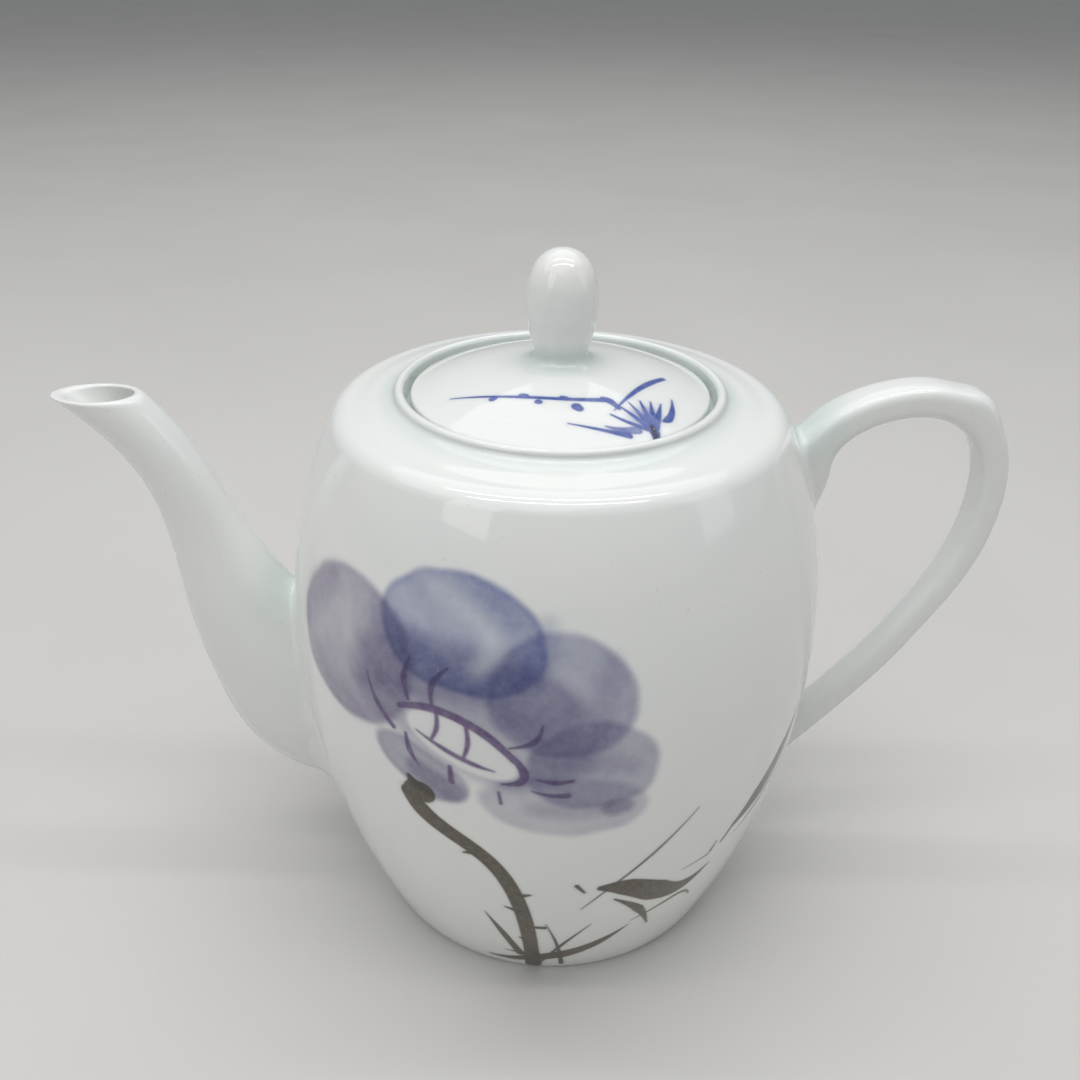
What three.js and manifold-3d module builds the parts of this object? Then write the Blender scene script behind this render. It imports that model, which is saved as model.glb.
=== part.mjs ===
// Porcelain teapot: a barrel-shaped pot with a swan-neck spout and an ear-shaped strap handle,
// and a domed lid with an egg knob that sits down inside a raised collar.
//
// Millimetres, +Z up. The origin is on the surface that the pot stands on, midway between the tip of
// the spout, which points along -X, and the back of the handle, which points along +X. The pieces are
// drawn about the pot's own axis, which stands a little nearer the handle. The pot is symmetrical
// about the XZ plane.
//
// The pot body, the spout and the handle are stuck together with slip, and so are the lid and its
// knob, so the finished ware comes apart in two: pot and lid. The pot body is drawn as a base, a
// wall in two rings and a shoulder, and the lid as a dome and a locating ring, so that each node is
// a simple hollow.

import * as THREE from "three";
import { mergeVertices } from "three/addons/utils/BufferGeometryUtils.js";
import Module from "manifold-3d";

const wasm = await Module();
wasm.setup();

// ---------------------------------------------------------------- driving dimensions

const AXIS_X = 5.7;               // from the origin to the pot's own axis
const JOINT_GAP = 0.3;            // left between two pieces that touch
const TURNS = 56;                 // facets round a turned piece
const KNOB_TURNS = 28;
const SIDE_STEPS = 11;            // facets up the pot's side

// Pot body: the side is one cubic curve from the foot to the shoulder, as [radius, height].
const SIDE = [[49.0, 0], [67.8, 44.3], [76.0, 94.9], [55.4, 138.4]];
const SHOULDER_ROUND = 5.9;       // edge between the side and the top
const WIDEST_Z = 84.0;
const WALL = 3.6;
const TOP_THICKNESS = 4.2;

// Collar: a rounded bead that stands out of a shallow cove and holds the lid.
const COVE_OUTER_R = 44.4;
const COVE_Z = 142.5;
const COVE_ROUND = 3.1;
const COVE_DEPTH = 2.6;
const BEAD_R = 38.35;
const BEAD_HALF = 1.15;
const BEAD_TOP_Z = 145.5;
const SEAT_R = 37.2;
const SEAT_Z = 140.3;
const NECK_R = 33.0;

// Foot ring: glazed down to a narrow bare edge, with a recessed base inside it.
const FOOT_EDGE = 1.4;
const FOOT_INNER_R = 42.0;
const FOOT_DRAFT = 0.6;           // how far the inside of the ring leans
const FOOT_FILLET = 2.0;
const FOOT_RECESS = 4.0;
const FLOOR_THICKNESS = 4.0;
const FLOOR_ROUND = 9.0;
const FLOOR_Z = FOOT_RECESS + FLOOR_THICKNESS;
const BASE_TOP_Z = FLOOR_Z + FLOOR_ROUND;

// Strainer: holes pierced through the pot wall behind the spout.
const STRAINER_HOLE_R = 2.0;
const STRAINER_PITCH = 7.0;
const STRAINER_X = -63.0;
const STRAINER_CENTRE_Z = 61.0;
const STRAINER_ROWS = [2, 3, 2, 3, 2];
const STRAINER_ROW_PITCH = STRAINER_PITCH * 0.87;

// Spout: centre line in the XZ plane, with half the section's size in that plane along it.
const SPOUT_LINE = [
  [-44.0, 50.0], [-64.2, 43.7], [-74.7, 62.0], [-85.6, 88.5], [-89.9, 104.5],
  [-98.1, 131.1], [-117.6, 146.5],
];
const SPOUT_HALF = [23.2, 21.9, 17.4, 9.6, 7.2, 7.6];
const SPOUT_FLATTEN = [0.66, 0.66, 0.78, 0.92, 0.95, 0.95];   // half width across, over that half
const SPOUT_WALL = [3.6, 3.6, 3.4, 2.6, 1.9, 1.8];
const SPOUT_MOUTH_Z = 141.0;      // the mouth is cut level

// Handle: centre line, outer and inner half thickness, and half width of a rounded strap.
const HANDLE_LINE = [
  [50.0, 106.0], [62.6, 116.9], [60.2, 128.7], [68.3, 138.3], [81.1, 143.4], [95.3, 143.6],
  [108.5, 131.2], [107.0, 100.8], [91.1, 75.7], [86.1, 65.4], [58.4, 33.0],
];
const HANDLE_OUTER = [4.6, 6.2, 3.5, 4.7, 3.2, 3.2, 3.5];
const HANDLE_INNER = [4.4, 5.6, 3.4, 4.5, 3.2, 3.2, 3.5];
const HANDLE_HALF_WIDTH = [7.0, 6.3, 5.5, 5.2, 4.9];
const HANDLE_SQUARENESS = 3.2;
const THUMB_CORNER = { at: 0.534, spread: 0.035, height: 1.8 };

// Lid: a shallow dome with a locating ring underneath.
const LID_R = 35.7;
const LID_RIM_Z = 143.9;
const LID_EDGE = 1.0;
const LID_BEVEL = 0.8;
const LID_FACET_R = [14.0, 21.0, 28.0];
const LID_HOLLOW_R = [10.0, 20.0];
const LID_TOP_Z = 151.5;
const LID_THICKNESS = 3.3;
const RING_OUTER_R = 32.2;
const RING_INNER_R = 29.0;
const RING_BOTTOM_Z = 131.5;
const RING_BEVEL = 0.8;
const VENT_R = 1.6;
const VENT_Y = 15.0;
const PAD_R = 7.4;                // level place on the dome that the knob stands on

// Knob: an egg on a short waisted stem.
const KNOB_R = 8.6;
const KNOB_WIDEST_Z = 165.0;
const KNOB_TOP_Z = 177.6;
const KNOB_LOWER_HALF = 14.3;     // the lower half's full height, were it not cut off by the stem
const STEM_R = 5.2;
const STEM_FOOT_R = 6.9;
const STEM_FLARE = 0.8;

// ---------------------------------------------------------------- shared shapes

const glaze = (color, roughness) => new THREE.MeshStandardMaterial({ color, roughness, metalness: 0 });

/** Value at t (0 to 1) of a clamped uniform cubic B-spline through scalar or point controls. */
function spline(controls, t) {
  const last = controls.length - 1;
  const spans = last - 2;
  const knot = (i) => Math.min(Math.max(i - 3, 0), spans) / spans;
  const span = Math.min(Math.floor(t * spans), spans - 1) + 3;
  const points = [0, 1, 2, 3].map((j) => [controls[span - 3 + j]].flat());
  for (let level = 1; level <= 3; level += 1) {
    for (let j = 3; j >= level; j -= 1) {
      const i = span - 3 + j;
      const blend = (t - knot(i)) / (knot(i + 4 - level) - knot(i));
      points[j] = points[j].map((value, axis) => (1 - blend) * points[j - 1][axis] + blend * value);
    }
  }
  return points[3];
}

/** Points on an arc of an ellipse, from angle `from` to angle `to` in degrees, both ends included. */
function arc(centreR, centreZ, radiusR, radiusZ, from, to, steps) {
  return Array.from({ length: steps + 1 }, (_, i) => {
    const angle = THREE.MathUtils.degToRad(from + ((to - from) * i) / steps);
    return [centreR + radiusR * Math.cos(angle), centreZ + radiusZ * Math.sin(angle)];
  });
}

/** A profile of [radius, height] points turned about the Z axis. */
function turned(profile, turns = TURNS) {
  const outline = profile.map(([r, z]) => new THREE.Vector2(r, z));
  return new THREE.LatheGeometry(outline, turns).rotateX(Math.PI / 2);
}

/** A turned ring: its profile doesn't meet the axis, so its last point is joined to its first. */
const turnedRing = (profile) => turned([...profile, profile[0]]);

/** Radius of an outline that climbs, at height z. */
function radiusAt(outline, z) {
  const above = outline.findIndex((point) => point[1] > z);
  const [r0, z0] = outline[above - 1];
  const [r1, z1] = outline[above];
  return r0 + ((r1 - r0) * (z - z0)) / (z1 - z0);
}

/** A closed skin over rings of points that have the same count, with a fan over each end. */
function loft(rings) {
  const count = rings[0].length;
  const positions = rings.flat().flatMap((p) => [p.x, p.y, p.z]);
  const index = [];
  for (let i = 0; i < rings.length - 1; i += 1) {
    for (let j = 0; j < count; j += 1) {
      const a = i * count + j;
      const b = i * count + ((j + 1) % count);
      index.push(a, b, b + count, a, b + count, a + count);
    }
  }
  for (const [ring, flip] of [[0, true], [rings.length - 1, false]]) {
    const centre = rings[ring].reduce((sum, p) => sum.add(p), new THREE.Vector3()).divideScalar(count);
    const hub = positions.length / 3;
    positions.push(centre.x, centre.y, centre.z);
    for (let j = 0; j < count; j += 1) {
      const a = ring * count + j;
      const b = ring * count + ((j + 1) % count);
      index.push(...(flip ? [hub, b, a] : [hub, a, b]));
    }
  }
  const geometry = new THREE.BufferGeometry();
  geometry.setAttribute("position", new THREE.Float32BufferAttribute(positions, 3));
  geometry.setIndex(index);
  return geometry;
}

/** Rings across a line in the XZ plane. `section(t, angle)` gives [offset to the line's left, y]. */
function sweep(line, section, steps, sides) {
  return Array.from({ length: steps + 1 }, (_, i) => {
    const t = i / steps;
    const [x, z] = spline(line, t);
    const [x0, z0] = spline(line, Math.max(t - 0.002, 0));
    const [x1, z1] = spline(line, Math.min(t + 0.002, 1));
    const run = Math.hypot(x1 - x0, z1 - z0);
    const left = [-(z1 - z0) / run, (x1 - x0) / run];
    return Array.from({ length: sides }, (_, j) => {
      const [offset, y] = section(t, (2 * Math.PI * j) / sides);
      return new THREE.Vector3(x + left[0] * offset, y, z + left[1] * offset);
    });
  });
}

function solid(geometry) {
  const bare = geometry.clone();
  bare.deleteAttribute("normal");
  bare.deleteAttribute("uv");
  const merged = mergeVertices(bare, 1e-4);
  return new wasm.Manifold(new wasm.Mesh({
    numProp: 3,
    vertProperties: Float32Array.from(merged.attributes.position.array),
    triVerts: Uint32Array.from(merged.index.array),
  }));
}

function geometryOf(manifold) {
  const mesh = manifold.getMesh();
  const geometry = new THREE.BufferGeometry();
  geometry.setAttribute("position", new THREE.BufferAttribute(mesh.vertProperties, 3));
  geometry.setIndex(new THREE.BufferAttribute(mesh.triVerts, 1));
  geometry.computeVertexNormals();
  return geometry;
}

function piece(name, shape, material) {
  const mesh = new THREE.Mesh(shape.isBufferGeometry ? shape : geometryOf(shape), material);
  mesh.name = name;
  return mesh;
}

// ---------------------------------------------------------------- pot body

/** Outer outline of the pot from the table up to the start of the cove, moved out by `grow`. */
function sideAndShoulder(grow) {
  const curve = new THREE.CubicBezierCurve(...SIDE.map(([r, z]) => new THREE.Vector2(r, z)));
  const side = curve.getPoints(SIDE_STEPS).map((p, i) => {
    const along = curve.getTangent(i / SIDE_STEPS);
    return [p.x + grow * along.y, p.y - grow * along.x];
  });
  const end = curve.getTangent(1);
  const centreR = SIDE[3][0] - SHOULDER_ROUND * end.y;
  const centreZ = SIDE[3][1] + SHOULDER_ROUND * end.x;
  const from = THREE.MathUtils.radToDeg(Math.atan2(-end.x, end.y));
  const round = SHOULDER_ROUND + grow;
  return [...side, ...arc(centreR, centreZ, round, round, from, 90, 4).slice(1)];
}

/** Everything inside the pot's outer surface, moved out by the joint gap. */
function potEnvelope() {
  const outline = sideAndShoulder(JOINT_GAP);
  const below = -1;
  outline[0][1] = below;
  const top = BEAD_TOP_Z + JOINT_GAP;
  const collar = [[COVE_OUTER_R, COVE_Z + JOINT_GAP], [BEAD_R + BEAD_HALF, top], [0, top]];
  return solid(turned([[0, below], ...outline, ...collar]));
}

function strainerHoles() {
  const throughWall = 24;
  return STRAINER_ROWS.flatMap((count, row) => {
    const z = STRAINER_CENTRE_Z + (row - (STRAINER_ROWS.length - 1) / 2) * STRAINER_ROW_PITCH;
    return Array.from({ length: count }, (_, i) => {
      const y = (i - (count - 1) / 2) * STRAINER_PITCH;
      const drill = new THREE.CylinderGeometry(STRAINER_HOLE_R, STRAINER_HOLE_R, throughWall, 12);
      return solid(drill.rotateZ(Math.PI / 2).translate(STRAINER_X, y, z));
    });
  });
}

const OUTSIDE = sideAndShoulder(0);
const INSIDE = sideAndShoulder(-WALL);
const CEILING_Z = OUTSIDE[OUTSIDE.length - 1][1] - TOP_THICKNESS;

/** Foot ring, floor and the curve from the floor up into the wall. */
function potBase() {
  const roundR = radiusAt(INSIDE, BASE_TOP_Z) - FLOOR_ROUND;
  return solid(turned([
    [0, FOOT_RECESS],
    [FOOT_INNER_R - FOOT_FILLET, FOOT_RECESS],
    [FOOT_INNER_R, FOOT_RECESS - FOOT_FILLET],
    [FOOT_INNER_R + FOOT_DRAFT, 0],
    [SIDE[0][0] - FOOT_EDGE, 0],
    [radiusAt(OUTSIDE, FOOT_EDGE), FOOT_EDGE],
    ...OUTSIDE.filter(([, z]) => z > FOOT_EDGE && z < BASE_TOP_Z),
    [radiusAt(OUTSIDE, BASE_TOP_Z), BASE_TOP_Z],
    ...arc(roundR, BASE_TOP_Z, FLOOR_ROUND, FLOOR_ROUND, 0, -90, 4),
    [0, FLOOR_Z],
  ]));
}

/** A ring of the barrel's wall between two heights. */
function wallRing(bottom, top) {
  const between = ([, z]) => z > bottom && z < top;
  return solid(turnedRing([
    [radiusAt(OUTSIDE, bottom), bottom],
    ...OUTSIDE.filter(between),
    [radiusAt(OUTSIDE, top), top],
    [radiusAt(INSIDE, top), top],
    ...INSIDE.filter(between).reverse(),
    [radiusAt(INSIDE, bottom), bottom],
  ]));
}

/** The wall from the base to the widest place, with the strainer pierced in it. */
function potWallLow() {
  const ring = wallRing(BASE_TOP_Z + JOINT_GAP, WIDEST_Z);
  return strainerHoles().reduce((wall, hole) => wall.subtract(hole), ring);
}

/** The wall from the widest place to the underside of the shoulder. */
function potWallHigh() {
  return wallRing(WIDEST_Z + JOINT_GAP, CEILING_Z - JOINT_GAP);
}

/** The top of the pot: shoulder, collar and the seat inside it that the lid rests on. */
function potShoulder() {
  return solid(turnedRing([
    [NECK_R, CEILING_Z],
    [radiusAt(OUTSIDE, CEILING_Z), CEILING_Z],
    ...OUTSIDE.filter(([, z]) => z > CEILING_Z),
    [COVE_OUTER_R, COVE_Z],
    ...arc(COVE_OUTER_R - COVE_ROUND / 2, COVE_Z + COVE_DEPTH, COVE_ROUND, COVE_DEPTH, -90, -165, 3),
    ...arc(BEAD_R, BEAD_TOP_Z - BEAD_HALF, BEAD_HALF, BEAD_HALF, 0, 180, 6),
    [SEAT_R, SEAT_Z],
    [NECK_R, SEAT_Z],
  ]));
}

// ---------------------------------------------------------------- spout

function spout(envelope) {
  const section = (shrink) => (t, angle) => {
    const half = spline(SPOUT_HALF, t)[0];
    const halfAcross = half * spline(SPOUT_FLATTEN, t)[0];
    const wall = shrink * spline(SPOUT_WALL, t)[0];
    return [(half - wall) * Math.cos(angle), -(halfAcross - wall) * Math.sin(angle)];
  };
  const skin = solid(loft(sweep(SPOUT_LINE, section(0), 27, 24)));
  const channel = solid(loft(sweep(SPOUT_LINE, section(1), 27, 20)));
  const [tipX] = SPOUT_LINE[SPOUT_LINE.length - 1];
  const size = 60;
  const above = new THREE.BoxGeometry(size, size, size).translate(tipX, 0, SPOUT_MOUTH_Z + size / 2);
  return skin.subtract(channel).subtract(solid(above)).subtract(envelope);
}

// ---------------------------------------------------------------- handle

function handle(envelope) {
  const power = (value) => Math.sign(value) * Math.abs(value) ** (2 / HANDLE_SQUARENESS);
  const section = (t, angle) => {
    const across = power(Math.cos(angle));
    const corner = THUMB_CORNER.height * Math.exp(-(((t - THUMB_CORNER.at) / THUMB_CORNER.spread) ** 2));
    const outer = spline(HANDLE_OUTER, t)[0] + corner;
    const inner = spline(HANDLE_INNER, t)[0];
    const halfWidth = spline(HANDLE_HALF_WIDTH, t)[0];
    return [across * (across > 0 ? outer : inner), -halfWidth * power(Math.sin(angle))];
  };
  return solid(loft(sweep(HANDLE_LINE, section, 42, 16))).subtract(envelope);
}

// ---------------------------------------------------------------- lid and knob

/** Height of the lid's shallow dome at radius r, lowered by `drop`. */
function domeZ(r, drop = 0) {
  const rise = LID_TOP_Z - LID_RIM_Z;
  const sphere = (LID_R ** 2 + rise ** 2) / (2 * rise);
  return LID_TOP_Z - drop - (sphere - Math.sqrt(sphere ** 2 - r ** 2));
}

const LID_UNDERSIDE_Z = SEAT_Z + JOINT_GAP;

/** The dome and its flat flange, pierced behind the knob, with a level pad for the knob to stand on. */
function lid() {
  const top = [PAD_R, ...LID_FACET_R, LID_R - LID_EDGE].map((r) => [r, domeZ(r)]);
  const below = [...LID_HOLLOW_R, RING_INNER_R - LID_EDGE].map((r) => [r, domeZ(r, LID_THICKNESS)]);
  const profile = [
    [0, domeZ(LID_HOLLOW_R[0], LID_THICKNESS)],
    ...below,
    [RING_OUTER_R, LID_UNDERSIDE_Z],
    [LID_R - LID_BEVEL, LID_UNDERSIDE_Z],
    [LID_R, LID_UNDERSIDE_Z + LID_BEVEL],
    [LID_R, domeZ(LID_R) - LID_EDGE],
    [LID_R - LID_EDGE / 3, domeZ(LID_R) - LID_EDGE / 3],
    ...top.reverse(),
    [0, domeZ(PAD_R)],
  ];
  const vent = new THREE.CylinderGeometry(VENT_R, VENT_R, 20, 16).rotateX(Math.PI / 2);
  return solid(turned(profile)).subtract(solid(vent.translate(0, VENT_Y, LID_TOP_Z)));
}

/** The ring under the dome that drops into the neck of the pot. */
function lidRing() {
  const outerTop = LID_UNDERSIDE_Z - JOINT_GAP;
  const innerTop = domeZ(RING_INNER_R, LID_THICKNESS) - 3 * JOINT_GAP;
  return solid(turnedRing([
    [RING_INNER_R, RING_BOTTOM_Z + RING_BEVEL],
    [RING_INNER_R + RING_BEVEL, RING_BOTTOM_Z],
    [RING_OUTER_R - RING_BEVEL, RING_BOTTOM_Z],
    [RING_OUTER_R, RING_BOTTOM_Z + RING_BEVEL],
    [RING_OUTER_R, outerTop],
    [RING_INNER_R, innerTop],
  ]));
}

function knob() {
  const base = domeZ(PAD_R) + JOINT_GAP;
  const waistAngle = -THREE.MathUtils.radToDeg(Math.acos(STEM_R / KNOB_R));
  const crown = arc(0, KNOB_WIDEST_Z, KNOB_R, KNOB_TOP_Z - KNOB_WIDEST_Z, 0, 90, 6).slice(1, -1);
  return solid(turned([
    [0, base],
    [STEM_FOOT_R, base],
    [STEM_R + STEM_FLARE / 2, base + STEM_FLARE],
    ...arc(0, KNOB_WIDEST_Z, KNOB_R, KNOB_LOWER_HALF, waistAngle, 0, 4),
    ...crown,
    [0, KNOB_TOP_Z],
  ], KNOB_TURNS));
}

// ---------------------------------------------------------------- assembly

const porcelain = glaze(0xe9eeea, 0.12);
const whiteware = glaze(0xf4f4ee, 0.15);

const pot = new THREE.Group();
const envelope = potEnvelope();
pot.add(
  piece("pot_base", potBase(), porcelain),
  piece("pot_wall_low", potWallLow(), porcelain),
  piece("pot_wall_high", potWallHigh(), porcelain),
  piece("pot_shoulder", potShoulder(), porcelain),
  piece("spout", spout(envelope), whiteware),
  piece("handle", handle(envelope), whiteware),
);

const lidAssembly = new THREE.Group();
lidAssembly.add(
  piece("lid", lid(), porcelain),
  piece("lid_ring", lidRing(), porcelain),
  piece("lid_knob", knob(), whiteware),
);

const teapot = new THREE.Group();
teapot.add(pot, lidAssembly);
teapot.position.x = AXIS_X;

export default teapot;
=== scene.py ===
"""Looks of the porcelain teapot: glazed body, spout, handle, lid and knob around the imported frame."""
import math

import bpy
import numpy as np
from mathutils import Matrix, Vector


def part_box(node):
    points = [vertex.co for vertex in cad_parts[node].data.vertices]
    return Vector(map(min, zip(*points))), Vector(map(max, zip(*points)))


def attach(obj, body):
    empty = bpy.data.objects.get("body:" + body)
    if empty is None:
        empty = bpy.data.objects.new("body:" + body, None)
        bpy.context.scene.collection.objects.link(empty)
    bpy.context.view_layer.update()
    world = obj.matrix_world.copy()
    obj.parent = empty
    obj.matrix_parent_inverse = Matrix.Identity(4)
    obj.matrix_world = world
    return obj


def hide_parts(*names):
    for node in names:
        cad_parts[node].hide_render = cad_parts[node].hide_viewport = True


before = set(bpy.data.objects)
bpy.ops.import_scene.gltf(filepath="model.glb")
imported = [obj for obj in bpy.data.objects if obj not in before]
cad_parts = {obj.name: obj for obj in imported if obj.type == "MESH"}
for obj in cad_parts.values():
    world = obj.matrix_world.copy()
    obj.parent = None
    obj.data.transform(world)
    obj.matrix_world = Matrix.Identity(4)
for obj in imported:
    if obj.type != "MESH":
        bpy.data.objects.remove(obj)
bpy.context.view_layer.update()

# Shapes are drawn in millimetres about the pot's own upright axis, then put into the frame in metres.
MM = 0.001
LID_LOW, LID_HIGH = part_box("lid")
AXIS = np.array([(LID_LOW.x + LID_HIGH.x) / 2, (LID_LOW.y + LID_HIGH.y) / 2, 0.0])

# -------- dimensions

SIDE = [(49.0, 0), (67.8, 44.3), (76.0, 94.9), (55.4, 138.4)]
SHOULDER_ROUND = 5.87
WALL = 3.6
TOP_THICKNESS = 4.2
COVE_R, COVE_Z = 44.4, 142.5
BEAD_R, BEAD_HALF, BEAD_TOP = 38.35, 1.15, 145.5
SEAT_R, SEAT_Z, NECK_R = 37.2, 140.3, 33.0
FOOT_INNER_R, FOOT_RECESS, FOOT_EDGE = 42.0, 4.0, 1.4
BARE_Z = .32        # below this the foot ring isn't glazed
FLOOR_Z, FLOOR_ROUND = 8.0, 9.0
STRAINER_ROWS = [2, 3, 2, 3, 2]
STRAINER_PITCH, STRAINER_HOLE_R, STRAINER_Z = 7.0, 2.0, 61.0
STRAINER_ROW_PITCH = STRAINER_PITCH * .87

SPOUT_LINE = [(-44, 50), (-64.2, 43.7), (-74.7, 62), (-85.6, 88.5), (-89.9, 104.5), (-98.1, 131.1),
              (-117.6, 146.5)]
SPOUT_HALF = [23.2, 21.9, 17.4, 9.6, 7.2, 7.6]
SPOUT_FLATTEN = [.66, .66, .78, .92, .95, .95]
SPOUT_WALL = [3.6, 3.6, 3.4, 2.6, 1.9, 1.8]
SPOUT_MOUTH_Z = 141.0

HANDLE_LINE = [(50, 106), (62.6, 116.9), (60.2, 128.7), (68.3, 138.3), (81.1, 143.4), (95.3, 143.6),
               (108.5, 131.2), (107, 100.8), (91.1, 75.7), (86.1, 65.4), (58.4, 33)]
HANDLE_OUTER = [4.6, 6.2, 3.5, 4.7, 3.2, 3.2, 3.5]
HANDLE_INNER = [4.4, 5.6, 3.4, 4.5, 3.2, 3.2, 3.5]
HANDLE_HALF_WIDTH = [7, 6.3, 5.5, 5.2, 4.9]
HANDLE_SQUARENESS = 3.2
THUMB_AT, THUMB_SPREAD, THUMB_HEIGHT = .534, .035, 1.8

LID_R, LID_RIM_Z, LID_TOP = 35.7, 143.9, 151.5
DOME_R = (LID_R ** 2 + (LID_TOP - LID_RIM_Z) ** 2) / (2 * (LID_TOP - LID_RIM_Z))
LID_THICKNESS = 3.3
RING_OUTER_R, RING_INNER_R, RING_BOTTOM = 32.2, 29.0, 131.5
VENT_R, VENT_Y = 1.6, 15.0
SKIRT_R = 10.4      # where the knob's stem runs out on the dome
WAIST_R, WAIST_Z = 6.25, 153.5
KNOB_R, KNOB_WIDEST_Z, KNOB_TOP = 8.55, 165.3, 177.6

# Points round each turned or swept skin, and round a drilled hole.
COLUMNS, KNOB_COLUMNS, SPOUT_COLUMNS, HANDLE_COLUMNS = 144, 96, 88, 64
DRILL_SIDES = 28
BASE_POOL = .03     # share of the glaze's own tint where it lies thin


# -------- curves

def spline(controls, t):
    """Points at t (0 to 1) of a clamped uniform cubic B-spline."""
    controls = np.asarray(controls, float)
    knots = np.concatenate([[0] * 3, np.linspace(0, 1, len(controls) - 2), [1] * 3])
    t = np.clip(np.asarray(t, float), 0, 1 - 1e-9)
    basis = [((knots[i] <= t) & (t < knots[i + 1])).astype(float) for i in range(len(knots) - 1)]
    for k in (1, 2, 3):
        raised = []
        for i in range(len(basis) - 1):
            rise, fall = knots[i + k] - knots[i], knots[i + k + 1] - knots[i + 1]
            left = (t - knots[i]) / rise * basis[i] if rise else 0
            right = (knots[i + k + 1] - t) / fall * basis[i + 1] if fall else 0
            raised.append(left + right + 0 * t)
        basis = raised
    return np.tensordot(np.stack(basis, -1), controls, 1)


def unit(v):
    """The vector, or each row of vectors, at length 1."""
    return v / np.maximum(np.linalg.norm(v, axis=-1, keepdims=True), 1e-12)


def radius(points):
    return np.hypot(points[:, 0], points[:, 1])


def bell(x, width):
    """1 where x is nought, and soon 0 beyond the width."""
    return np.exp(-(x / width) ** 2)


def full_turn(count):
    """That many angles, evenly round a turn."""
    return 2 * math.pi * np.arange(count) / count


def bezier(controls, t):
    """Points at t of the Bezier curve with these controls, of any order."""
    order = len(controls) - 1
    t = np.asarray(t, float)[..., None]
    return sum(math.comb(order, i) * t ** i * (1 - t) ** (order - i) * np.asarray(c, float)
               for i, c in enumerate(controls))


def bezier_slope(controls, t):
    """Direction of that curve at t, as long as the curve is fast."""
    order = len(controls) - 1
    steps = [order * (np.asarray(b, float) - np.asarray(a, float)) for a, b in zip(controls, controls[1:])]
    return bezier(steps, t)


def curve(controls, count):
    """That many points along a Bezier curve, ends included."""
    return bezier(controls, np.linspace(0, 1, count))


def smooth_path(points):
    """Relaxed curve along the points. It closes smoothly where the last point is the first again."""
    p = np.asarray(points, float)
    closed = np.allclose(p[0], p[-1])
    p = np.vstack([p[-2] if closed else 2 * p[0] - p[1], p, p[1] if closed else 2 * p[-1] - p[-2]])
    step = np.linalg.norm(np.diff(p, axis=0), axis=1)[:, None]
    slope = np.diff(p, axis=0) / step
    slope = (slope[:-1] * step[1:] + slope[1:] * step[:-1]) / (step[1:] + step[:-1])
    t = np.linspace(0, 1, PER_SPAN, endpoint=False)[:, None]
    out = []
    for a, b, from_a, into_b, run in zip(p[1:], p[2:], slope, slope[1:], step[1:]):
        near_b = t * t * (3 - 2 * t)
        out.append(a + near_b * (b - a) + run * (t * (1 - t) ** 2 * from_a - t * t * (1 - t) * into_b))
    line = np.vstack(out + [p[-2:-1]])
    for _ in range(PER_SPAN * (8 if closed else 3)):
        seam = line[0] / 2 + (line[-2] + line[1]) / 4
        line[1:-1] = line[1:-1] / 2 + (line[:-2] + line[2:]) / 4
        if closed:
            line[0] = line[-1] = seam
    return line


def rounded(corners, steps=5):
    """Polyline through (r, z, cut) corners. A corner with a cut is rounded off from that far each side."""
    out = []
    for i, (r, z, cut) in enumerate(corners):
        here = np.array([r, z], float)
        if not cut or i in (0, len(corners) - 1):
            out.append(here)
            continue
        before = np.array(corners[i - 1][:2], float) - here
        after = np.array(corners[i + 1][:2], float) - here
        ends = [here + unit(d) * min(cut, .49 * np.linalg.norm(d)) for d in (before, after)]
        out.extend(curve([ends[0], here, ends[1]], steps + 1))
    return np.array(out)


def divided(line, longest):
    """The polyline with its long segments cut up."""
    out = [line[0]]
    for a, b in zip(line, line[1:]):
        parts = max(1, math.ceil(np.linalg.norm(b - a) / longest))
        out.extend(a + (b - a) * (k + 1) / parts for k in range(parts))
    return np.array(out)


# -------- profiles, as (radius, height)

def barrel(t, grow=0.0):
    """Side of the pot at t (0 at the foot, 1 at the shoulder), moved out by grow."""
    slope = unit(bezier_slope(SIDE, t))
    return bezier(SIDE, t) + grow * np.stack([slope[..., 1], -slope[..., 0]], -1)


def shoulder(steps):
    """The roll from the top of the side to the flat disc."""
    slope = unit(bezier_slope(SIDE, 1.0))
    centre = np.array(SIDE[3]) - SHOULDER_ROUND * np.array([slope[1], -slope[0]])
    angle = np.linspace(math.atan2(-slope[0], slope[1]), math.pi / 2, steps + 1)[1:]
    return centre + SHOULDER_ROUND * np.stack([np.cos(angle), np.sin(angle)], -1)


def smooth_join(a, b, out_of_a, into_b, steps=8):
    """Cubic curve from a to b that leaves and arrives along the two directions."""
    reach = np.linalg.norm(np.subtract(b, a)) * .38
    handles = [np.add(a, np.multiply(out_of_a, reach)), np.subtract(b, np.multiply(into_b, reach))]
    return curve([a, *handles, b], steps + 1)


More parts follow.
